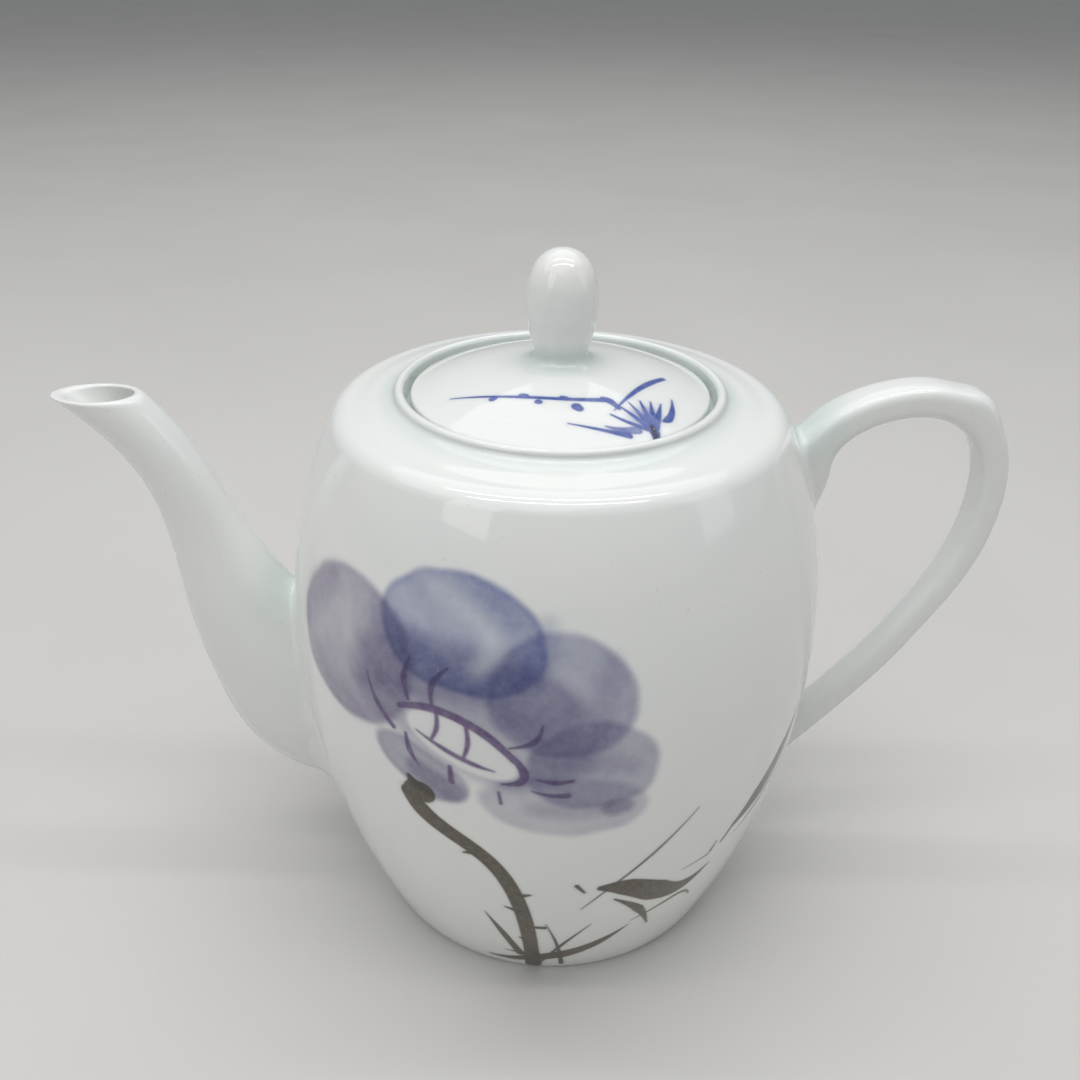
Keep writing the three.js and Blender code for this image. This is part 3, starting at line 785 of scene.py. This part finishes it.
def bumped(tree, shader, *heights):
    """Chains small bumps, each a (value, strength, distance)."""
    normal = None
    for value, strength, distance in heights:
        made = node(tree, "ShaderNodeBump", in_Strength=strength, in_Distance=distance)
        tree.links.new(value, made.inputs["Height"])
        if normal is not None:
            tree.links.new(normal, made.inputs["Normal"])
        normal = made.outputs[0]
    tree.links.new(normal, shader.inputs["Normal"])


WHITE = (.85, .85, .825, 1)
WHITE_COOL = (.82, .835, .82, 1)
CELADON = (.58, .70, .66, 1)
FLECK = (.45, .42, .36, 1)
PIGMENTS = {"cobalt": (.025, .075, .40, 1), "violet": (.14, .07, .23, 1), "iron": (.06, .037, .012, 1)}
# How coarse each pigment is, and how much of it the thinnest grains leave.
GRAIN = {"cobalt": (420.0, .86), "violet": (420.0, .86), "iron": (700.0, .93)}


def glaze(name, painted):
    """Clear, slightly blue-green glaze over white porcelain, with underglaze brushwork where painted."""
    material, tree, shader = nodes_of(name)
    cloud = noise(tree, 38.0, 2.0)
    colour = mixed(tree, spread(tree, cloud, 0, 1), WHITE, WHITE_COOL)
    pool = times(tree, layer(tree, "pool"), spread(tree, noise(tree, 160.0), .8, 1.0))
    colour = mixed(tree, pool, colour, CELADON)
    if painted:
        for key, (scale, thinnest) in GRAIN.items():
            grain = spread(tree, noise(tree, scale, 4.0, .65), thinnest, 1.0)
            colour = mixed(tree, times(tree, layer(tree, key), grain), colour, PIGMENTS[key], "MULTIPLY")
    specks = noise(tree, 900.0, 1.0)
    colour = mixed(tree, spread(tree, specks, 0, .35, .765, .80), colour, FLECK)
    tree.links.new(colour, shader.inputs["Base Color"])
    tree.links.new(spread(tree, noise(tree, 55.0, 4.0), .045, .085), shader.inputs["Roughness"])
    shader.inputs["IOR"].default_value = 1.52
    shader.inputs["Coat Weight"].default_value = .25
    shader.inputs["Coat Roughness"].default_value = .02
    bumped(tree, shader, (noise(tree, 26.0, 1.0), .02, .0009), (noise(tree, 260.0, 2.0), .03, .0001))
    return material


def biscuit(name):
    """Bare, fine grained porcelain on the foot ring."""
    material, tree, shader = nodes_of(name)
    grain = spread(tree, noise(tree, 300.0, 6.0), 0, 1)
    colour = mixed(tree, grain, (.74, .70, .63, 1), (.60, .55, .47, 1))
    tree.links.new(colour, shader.inputs["Base Color"])
    tree.links.new(spread(tree, noise(tree, 500.0), .55, .75), shader.inputs["Roughness"])
    bumped(tree, shader, (noise(tree, 1800.0, 5.0), .35, .0001))
    return material


def floor_finish(name):
    """Matt, pale and slightly uneven."""
    material, tree, shader = nodes_of(name)
    colour = mixed(tree, spread(tree, noise(tree, 6.0), 0, 1), (.66, .645, .62, 1), (.63, .615, .59, 1))
    tree.links.new(colour, shader.inputs["Base Color"])
    shader.inputs["Roughness"].default_value = .8
    bumped(tree, shader, (noise(tree, 900.0, 3.0), .08, .0002))
    return material


PAINTED_GLAZE = glaze("painted_glaze", True)
PLAIN_GLAZE = glaze("plain_glaze", False)
BISCUIT = biscuit("bare_foot")


# -------- pot body

# Glaze gathered where the spout and the handle join: X, Z, reach in that plane, reach along Y, thickness.
ROOT_POOLS = [(-71.5, 88, 7.5, 13, .50), (61, 136, 6.5, 11, .55), (68, 41, 6, 9, .30)]
SPOUT_FOOT_POOL = (-66, 44, 16, .05)


def root_pool(points):
    """How thickly the glaze has gathered in the corners where the spout and the handle join the body."""
    x, y, z = points.T
    low_x, low_z, low_reach, low_depth = SPOUT_FOOT_POOL
    pool = low_depth * bell(np.hypot(x - low_x, z - low_z), low_reach)
    for at_x, at_z, along, across, depth in ROOT_POOLS:
        away = np.maximum(np.hypot(x - at_x, z - at_z) - 2, 0)
        pool += depth * bell(away, along) * bell(y, across)
    return pool


def strainer():
    """Where the strainer's holes run through the wall behind the spout, as drills for pierce."""
    for row, count in enumerate(STRAINER_ROWS):
        z = STRAINER_Z + (row - (len(STRAINER_ROWS) - 1) / 2) * STRAINER_ROW_PITCH
        for i in range(count):
            y = (i - (count - 1) / 2) * STRAINER_PITCH
            yield (-75, y, z), (-50, y, z), STRAINER_HOLE_R


def painted_layers(points, where, ink):
    """Ink at all the points, laid only where where is true."""
    layers = no_ink(points)
    for key, values in ink(points[where]).items():
        layers[key][where] = values
    return layers


def build_body():
    """Makes the pot's body and returns its profile."""
    profile = pot_profile()
    points, faces = lathe(profile)
    points, faces = pierce(points, faces, strainer())
    points, faces = refine(points, faces, side_size, onto_side, 6)
    r, y, z = radius(points), points[:, 1], points[:, 2]
    front = (r > np.interp(z, *SIDE_TABLE) - 1.2) & (z < 138) & (y < 14)
    layers = painted_layers(points, front, side_ink)
    cove = bell(np.hypot(r - 41.2, z - 142.9), 2.2)
    gap = (r < SEAT_R + .6) & (z > SEAT_Z - .6) & (z < BEAD_TOP - .3) & (r > NECK_R)
    above_foot = bell(z - 1.5, 2.0) * (r > 47.5)
    pool = .38 * cove + .42 * gap + .35 * above_foot
    layers["pool"] = np.clip(pool + root_pool(points) + BASE_POOL, 0, 1)
    centre = points[faces].mean(1)
    bare = (centre[:, 2] < BARE_Z) & (radius(centre) > FOOT_INNER_R)
    piece = finished("pot_body_glazed", points, faces, [PAINTED_GLAZE, BISCUIT], layers,
                     corner_normals=turned_normals(profile, points, faces), second=bare)
    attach(piece, "pot")
    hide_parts("pot_base", "pot_wall_low", "pot_wall_high", "pot_shoulder")
    return profile


# -------- spout and handle

BEYOND = 120.0      # how fast a line runs straight on past its end, in millimetres for each unit of t
ROOT_TUCK = .5      # how far a root's edge goes on into the pot's wall
ROOT_LIFT = .012    # how far that edge stands over the wall


def sweep_points(line, t, offset, y):
    """Points offset to the left of a line in the XZ plane, and out along Y."""
    t = np.asarray(t, float)
    ahead = unit(spline(line, np.clip(t + .002, 0, 1)) - spline(line, np.clip(t - .002, 0, .996)))
    here = spline(line, t) + ahead * np.clip(t - 1, 0, None)[..., None] * BEYOND
    x, z = here[..., 0] - ahead[..., 1] * offset, here[..., 1] + ahead[..., 0] * offset
    return np.stack([x, y + 0 * offset, z], -1)


def spout_skin(t, angle, inside=0.0):
    """Points of the spout's skin, or of its bore where inside is 1."""
    half = spline(SPOUT_HALF, t)
    wall = inside * spline(SPOUT_WALL, t)
    across = half * spline(SPOUT_FLATTEN, t) - wall
    return sweep_points(SPOUT_LINE, t, (half - wall) * np.cos(angle), -across * np.sin(angle))


def handle_skin(t, angle):
    """Points of the handle's skin."""
    power = lambda v: np.sign(v) * np.abs(v) ** (2 / HANDLE_SQUARENESS)
    across = power(np.cos(angle))
    outer = spline(HANDLE_OUTER, t) + THUMB_HEIGHT * bell(t - THUMB_AT, THUMB_SPREAD)
    offset = across * np.where(across > 0, outer, spline(HANDLE_INNER, t))
    return sweep_points(HANDLE_LINE, t, offset, -spline(HANDLE_HALF_WIDTH, t) * power(np.sin(angle)))


def crossing(values, t):
    """First t at which the sampled values change sign, by linear interpolation."""
    change = np.nonzero(np.sign(values[:-1]) != np.sign(values[1:]))[0][0]
    share = values[change] / (values[change] - values[change + 1])
    return t[change] + share * (t[change + 1] - t[change])


def root(skin, angle, away, t_from, t_to, outline, along, across, steps=9):
    """One line of a root's fillet: t where it starts, its points down to the wall, and a point in the wall.

    away points out of the piece. along is the fillet's reach up the piece and across its reach over the wall,
    in millimetres."""
    t = np.linspace(t_from, t_to, 220)
    path = skin(t, angle)
    _, _, outside = nearest(outline, path)
    t_hit = crossing(outside, t)
    run = np.concatenate([[0], np.cumsum(np.linalg.norm(np.diff(path, axis=0), axis=1))])
    rising = (t, run) if t_to > t_from else (t[::-1], run[::-1])
    t_start = np.interp(np.interp(t_hit, *rising) - along, run, t)
    start, hit = skin(np.array([t_start, t_hit]), angle)
    base, normal, _ = (v[0] for v in nearest(outline, hit[None]))
    out = unit(away - normal * (away @ normal))
    wall, wall_normal, _ = (v[0] for v in nearest(outline, (base + out * across)[None]))
    leaving = unit(out - wall_normal * (out @ wall_normal))
    step = (t_to - t_from) * .002
    before, after = skin(np.array([t_start - step, t_start + step]), angle)
    ahead = unit(after - before)
    reach = np.linalg.norm(hit - start) * .7
    spread_out = np.linalg.norm(wall - base) * .7
    wall = wall + wall_normal * ROOT_LIFT
    handles = [start + ahead * reach, wall - leaving * spread_out]
    fillet = curve([start, *handles, wall], steps + 1)
    beneath, normal, _ = (v[0] for v in nearest(outline, (wall + leaving * ROOT_TUCK)[None]))
    return t_start, fillet, beneath - normal * ROOT_TUCK


def skin_away(skin, t, angle, line):
    """Direction out of the piece's middle through its skin."""
    x, z = spline(line, t)
    return unit(skin(t, angle) - [x, 0, z])


def grid_faces(rows, columns, closed):
    """Triangles between rings of points, joined end to end where closed."""
    faces = []
    for i in range(rows if closed else rows - 1):
        a = i * columns + np.arange(columns)
        b = i * columns + (np.arange(columns) + 1) % columns
        shift = ((i + 1) % rows - i) * columns
        faces += [np.stack([a, b, b + shift], -1), np.stack([a, b + shift, a + shift], -1)]
    return np.vstack(faces)


def outward(points, faces):
    """The faces, turned so that a closed skin faces outwards."""
    a, b, c = (points[faces[:, k]] for k in range(3))
    return faces if np.einsum("ij,ij->i", a, np.cross(b, c)).sum() > 0 else faces[:, ::-1]


def soft_normals(points, faces, leave_out):
    """Normals at the points, from the faces round them that aren't left out."""
    face = face_vectors(points, faces)
    face = np.where(leave_out[:, None], 1e-6 * face, face)
    normal = np.zeros_like(points)
    for k in range(3):
        np.add.at(normal, faces[:, k], face)
    return unit(normal)


def build_spout(outline):
    """Makes the hollow spout, from the wall up its skin, over the lip and down its bore."""
    columns = SPOUT_COLUMNS
    rows = []
    for angle in full_turn(columns):
        dense = np.linspace(.55, 1.1, 500)
        t_out = crossing(spout_skin(dense, angle)[:, 2] - SPOUT_MOUTH_Z, dense)
        t_in = crossing(spout_skin(dense, angle, 1)[:, 2] - SPOUT_MOUTH_Z, dense)
        topside = .5 - .5 * math.cos(angle)
        upper = topside ** 2
        away = skin_away(spout_skin, .22, angle, SPOUT_LINE)
        along, across = 5.5 + 4.5 * upper, 5.0 + 3.5 * upper
        t_start, fillet, tuck = root(spout_skin, angle, away, .75, .02, outline, along, across, 12)
        lip_out, lip_in = spout_skin(t_out, angle), spout_skin(t_in, angle, 1)
        flat = np.linalg.norm(lip_in - lip_out)
        cut = min(.49 * flat, 1.1)
        roll = cut + 1.4 * topside
        step = np.linalg.norm(spout_skin(t_out - .01, angle) - lip_out) / .01
        t_body = np.linspace(t_start, t_out - roll / step, 70)
        skin = spout_skin(t_body, angle)
        level = (lip_in - lip_out) / flat
        round_out = curve([skin[-1], lip_out, lip_out + level * cut], 7)[1:]
        step_in = np.linalg.norm(spout_skin(t_in - .01, angle, 1) - lip_in) / .01
        t_hollow = np.linspace(t_in - cut / step_in, .16, 50)
        hollow = spout_skin(t_hollow, angle, 1)
        round_in = curve([lip_in - level * cut, lip_in, hollow[0]], 7)
        _, _, outside = nearest(outline, hollow)
        inside = np.nonzero(outside < -.5)[0]
        if len(inside):
            t_end = t_hollow[inside[0]]
            hollow = spout_skin(np.linspace(t_hollow[0], t_end, 50), angle, 1)
        rows.append(np.vstack([tuck[None], fillet[::-1], skin[1:], round_out, round_in, hollow[1:]]))
    grid = np.array(rows).transpose(1, 0, 2)
    points = grid.reshape(-1, 3)
    faces = outward(points, grid_faces(len(grid), columns, True))
    hidden = (faces < columns).any(1)
    normals = soft_normals(points, faces, hidden)
    rim_row = np.arange(columns) + columns
    normals[rim_row] = nearest(outline, points[rim_row])[1]
    pool = np.clip(BASE_POOL + root_pool(points), 0, 1)
    piece = finished("spout_glazed", points, faces, [PLAIN_GLAZE], {"pool": pool}, point_normals=normals)
    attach(piece, "pot")
    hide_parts("spout")


def build_handle(outline):
    """Makes the solid handle, from its upper root round to its lower one."""
    columns = HANDLE_COLUMNS
    rows = []
    for angle in full_turn(columns):
        outer = .5 + .5 * math.cos(angle)
        away_top = skin_away(handle_skin, .10, angle, HANDLE_LINE)
        away_low = skin_away(handle_skin, .97, angle, HANDLE_LINE)
        reach = 3.0 + 2 * outer
        t_top, fillet_top, tuck_top = root(handle_skin, angle, away_top, .5, .0, outline, reach, reach)
        t_low, fillet_low, tuck_low = root(handle_skin, angle, away_low, .7, 1.1, outline, 2.2, 1.8)
        skin = handle_skin(np.linspace(t_top, t_low, 190), angle)[1:-1]
        rows.append(np.vstack([tuck_top[None], fillet_top[::-1], skin, fillet_low, tuck_low[None]]))
    grid = np.array(rows).transpose(1, 0, 2)
    points = grid.reshape(-1, 3)
    count = len(points)
    faces = grid_faces(len(grid), columns, False)
    ring = np.arange(columns)
    ends = []
    for base, hub in ((0, count), (count - columns, count + 1)):
        fan = np.stack([np.full(columns, hub), ring + base, (ring + 1) % columns + base], -1)
        ends.append(fan if base else fan[:, ::-1])
    points = np.vstack([points, points[:columns].mean(0), points[count - columns:count].mean(0)])
    faces = outward(points, np.vstack([faces, *ends]))
    hidden = ((faces < columns) | (faces >= count - columns)).any(1)
    normals = soft_normals(points, faces, hidden)
    for base in (columns, count - 2 * columns):
        normals[ring + base] = nearest(outline, points[ring + base])[1]
    pool = np.clip(BASE_POOL + root_pool(points), 0, 1)
    piece = finished("handle_glazed", points, faces, [PLAIN_GLAZE], {"pool": pool}, point_normals=normals)
    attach(piece, "pot")
    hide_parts("handle")


# -------- lid and knob

STEM_POOL = .55


def by_stem(r):
    """How near the knob's stem radius r is, from 0 to 1."""
    return bell(np.maximum(r - 6.5, 0), 3.6)


def build_lid():
    """Makes the lid with its locating ring and steam hole."""
    profile = lid_profile()
    points, faces = lathe(profile)
    vent = ((0, VENT_Y, LID_TOP - 12), (0, VENT_Y, LID_TOP + 6), VENT_R)
    points, faces = pierce(points, faces, [vent])
    points, faces = refine(points, faces, lid_size, onto_dome, 6)
    r, z = radius(points), points[:, 2]
    top = (z > dome_z(np.minimum(r, LID_R)) - .4) & (r < LID_R)
    layers = painted_layers(points, top, lid_ink)
    under_rim = (z < LID_RIM_Z - 1) & (r > RING_OUTER_R + .5)
    layers["pool"] = np.clip(BASE_POOL + STEM_POOL * by_stem(r) * top + .2 * under_rim, 0, 1)
    piece = finished("lid_glazed", points, faces, [PAINTED_GLAZE], layers,
                     corner_normals=turned_normals(profile, points, faces))
    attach(piece, "lid")
    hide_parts("lid", "lid_ring")


def build_knob():
    """Makes the egg-shaped knob and its stem."""
    profile = knob_profile()
    points, faces = lathe(profile, KNOB_COLUMNS)
    corner = turned_normals(profile, points, faces)
    centre = points[faces].mean(1)
    edge_z = float(dome_z(SKIRT_R))
    under = (centre[:, 2] < edge_z - .05) | (radius(centre) < 4.9) & (centre[:, 2] < 152)
    corner[under] = 0
    # The skirt's edge takes the dome's own normals, so that no seam shows on the lid.
    edge = (np.abs(points[faces][..., 2] - edge_z) < .05) & ~under[:, None]
    corner[edge] = unit(points[faces] - [0, 0, LID_TOP - DOME_R])[edge]
    stem = by_stem(radius(points)) * np.clip((157 - points[:, 2]) / 3.5, 0, 1)
    pool = np.clip(BASE_POOL + STEM_POOL * stem, 0, 1)
    piece = finished("knob_glazed", points, faces, [PLAIN_GLAZE], {"pool": pool}, corner_normals=corner)
    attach(piece, "lid")
    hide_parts("lid_knob")


# -------- stage

FLOOR_HALF = 9.0
CAMERA_PLACE, CAMERA_PITCH, CAMERA_ROLL = (AXIS[0] - .004275, -.24318, .23895), 29.34, .88
WORLD_COLOUR, WORLD_STRENGTH = (.80, .83, .86, 1), .34
# Place, point faced, size and power of each light.
LIGHTS = {
    "overhead_soft": ((-.10, .10, 1.6), (0, 0, .1), (3.0, 2.4), 20.0),
    "front_left_soft": ((-.75, -.85, .75), (0, 0, .07), (.5, .7), 1.5),
    "fill_right": ((1.1, -.35, .6), (0, 0, .07), (.4, .8), .8),
    "strip_front": ((0, -.22, .95), (0, 0, .12), (.9, .035), 1.3),
    "strip_back": ((0, .06, .95), (0, 0, .12), (.9, .035), 1.3),
}


def look(thing, place, pitch_down, roll, heading=0.0):
    """Puts a camera or light in place, facing +Y and tipped down, in degrees."""
    turns = ((heading, "Z"), (90 - pitch_down, "X"), (roll, "Z"))
    pan, tip, spin = (Matrix.Rotation(math.radians(angle), 4, axis) for angle, axis in turns)
    thing.matrix_world = Matrix.Translation(place) @ pan @ tip @ spin


def area_light(name, centre, target, size, power):
    """A rectangular light of this size and power, turned towards the target."""
    data = bpy.data.lights.new(name, "AREA")
    data.shape, data.size, data.size_y = "RECTANGLE", size[0], size[1]
    data.energy = power
    thing = bpy.data.objects.new(name, data)
    bpy.context.scene.collection.objects.link(thing)
    direction = np.subtract(target, centre)
    pan = math.degrees(math.atan2(-direction[0], direction[1]))
    tip = math.degrees(math.atan2(-direction[2], math.hypot(direction[0], direction[1])))
    look(thing, centre, tip, 0, pan)


def build_stage():
    """Camera, pale floor, dim world and soft lights."""
    camera = bpy.data.objects.new("camera", bpy.data.cameras.new("camera"))
    bpy.context.scene.collection.objects.link(camera)
    camera.data.sensor_width, camera.data.lens = 36, 36
    camera.data.clip_start, camera.data.clip_end = .01, 20
    look(camera, CAMERA_PLACE, CAMERA_PITCH, CAMERA_ROLL)
    bpy.context.scene.camera = camera
    corners = FLOOR_HALF * np.array([(-1, -1, 0), (1, -1, 0), (1, 1, 0), (-1, 1, 0)])
    floor = mesh_of("floor", corners, [(0, 1, 2), (0, 2, 3)])
    floor.data.materials.append(floor_finish("pale_floor"))
    world = bpy.data.worlds.new("studio")
    bpy.context.scene.world = world
    world.use_nodes = True
    background = world.node_tree.nodes["Background"]
    background.inputs[0].default_value = WORLD_COLOUR
    background.inputs[1].default_value = WORLD_STRENGTH
    for name, settings in LIGHTS.items():
        area_light(name, *settings)
    bpy.context.scene.view_settings.view_transform = "Standard"


pot_outline = build_body()
pot_outline = pot_outline[:next(i for i, (r, z) in enumerate(pot_outline) if z > BEAD_TOP - .01)]
build_spout(pot_outline)
build_handle(pot_outline)
build_lid()
build_knob()
build_stage()
